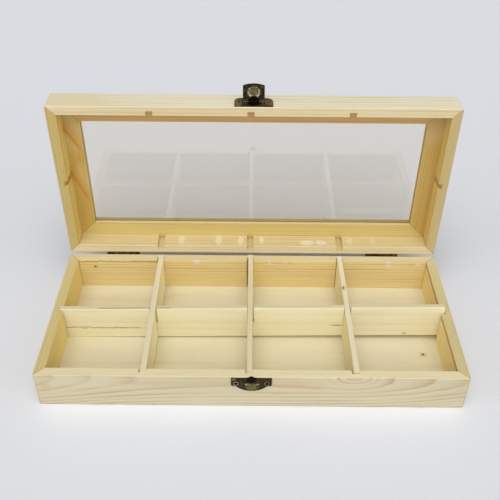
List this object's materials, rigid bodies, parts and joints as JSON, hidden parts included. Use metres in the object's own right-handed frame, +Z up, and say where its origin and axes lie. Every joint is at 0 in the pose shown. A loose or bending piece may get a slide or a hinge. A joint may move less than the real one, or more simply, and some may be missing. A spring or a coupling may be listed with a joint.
{
  "type": "tea bag organizer box",
  "caption": "Low hinged pine box with a glazed lid, loose halved dividers that make a grid of compartments, and a hasp latch on the front.",
  "frame": {"origin": "middle of the box's underside, on the table", "axes": "+X to the right along the box's length, -Y to the front with the latch, +Z up"},
  "size_m": [0.38, 0.1998, 0.2277],
  "materials": {
    "pine": "sanded, unfinished pale pine with straight growth lines",
    "pine_panel": "thin pale panel, sanded and unfinished",
    "clear_glass": "clear flat glass",
    "antique_bronze": "dull dark olive bronze plating, lighter on worn edges"
  },
  "bodies": {
    "box": {"front_wall": "pine", "back_wall": "pine", "left_wall": "pine", "right_wall": "pine", "bottom_panel": "pine_panel", "hinge_base_leaf_left": "antique_bronze", "hinge_base_leaf_right": "antique_bronze", "hinge_pin_left": "antique_bronze", "hinge_pin_right": "antique_bronze", "base_hinge_nails": "antique_bronze", "catch_plate": "antique_bronze", "catch_nails": "antique_bronze"},
    "lid": {"lid_front_rail": "pine", "lid_back_rail": "pine", "lid_left_rail": "pine", "lid_right_rail": "pine", "glass_pane": "clear_glass", "hinge_lid_leaf_left": "antique_bronze", "hinge_lid_leaf_right": "antique_bronze", "lid_hinge_nails": "antique_bronze", "hasp_plate": "antique_bronze", "hasp_plate_nails": "antique_bronze", "hasp_pin": "antique_bronze"},
    "hasp": {"hasp": "antique_bronze"},
    "long_divider": {"long_divider": "pine"},
    "cross_divider_left": {"cross_divider_left": "pine"},
    "cross_divider_middle": {"cross_divider_middle": "pine"},
    "cross_divider_right": {"cross_divider_right": "pine"}
  },
  "joints": [
    {"name": "lid_hinge", "type": "hinge", "parent": "box", "child": "lid", "pos_m": [0, 0.0855, 0.03915], "axis": [-1, 0, 0], "range_deg": [-90, 0]},
    {"name": "hasp_hinge", "type": "hinge", "parent": "lid", "child": "hasp", "pos_m": [0, 0.09365, 0.2103], "axis": [-1, 0, 0], "range_deg": [-95, 52]},
    {"name": "long_divider_lift", "type": "slide", "parent": "box", "child": "long_divider", "axis": [0, 0, 1], "range_m": [0, 0.04]},
    {"name": "cross_divider_left_lift", "type": "slide", "parent": "long_divider", "child": "cross_divider_left", "axis": [0, 0, 1], "range_m": [0, 0.04]},
    {"name": "cross_divider_middle_lift", "type": "slide", "parent": "long_divider", "child": "cross_divider_middle", "axis": [0, 0, 1], "range_m": [0, 0.04]},
    {"name": "cross_divider_right_lift", "type": "slide", "parent": "long_divider", "child": "cross_divider_right", "axis": [0, 0, 1], "range_m": [0, 0.04]}
  ]
}
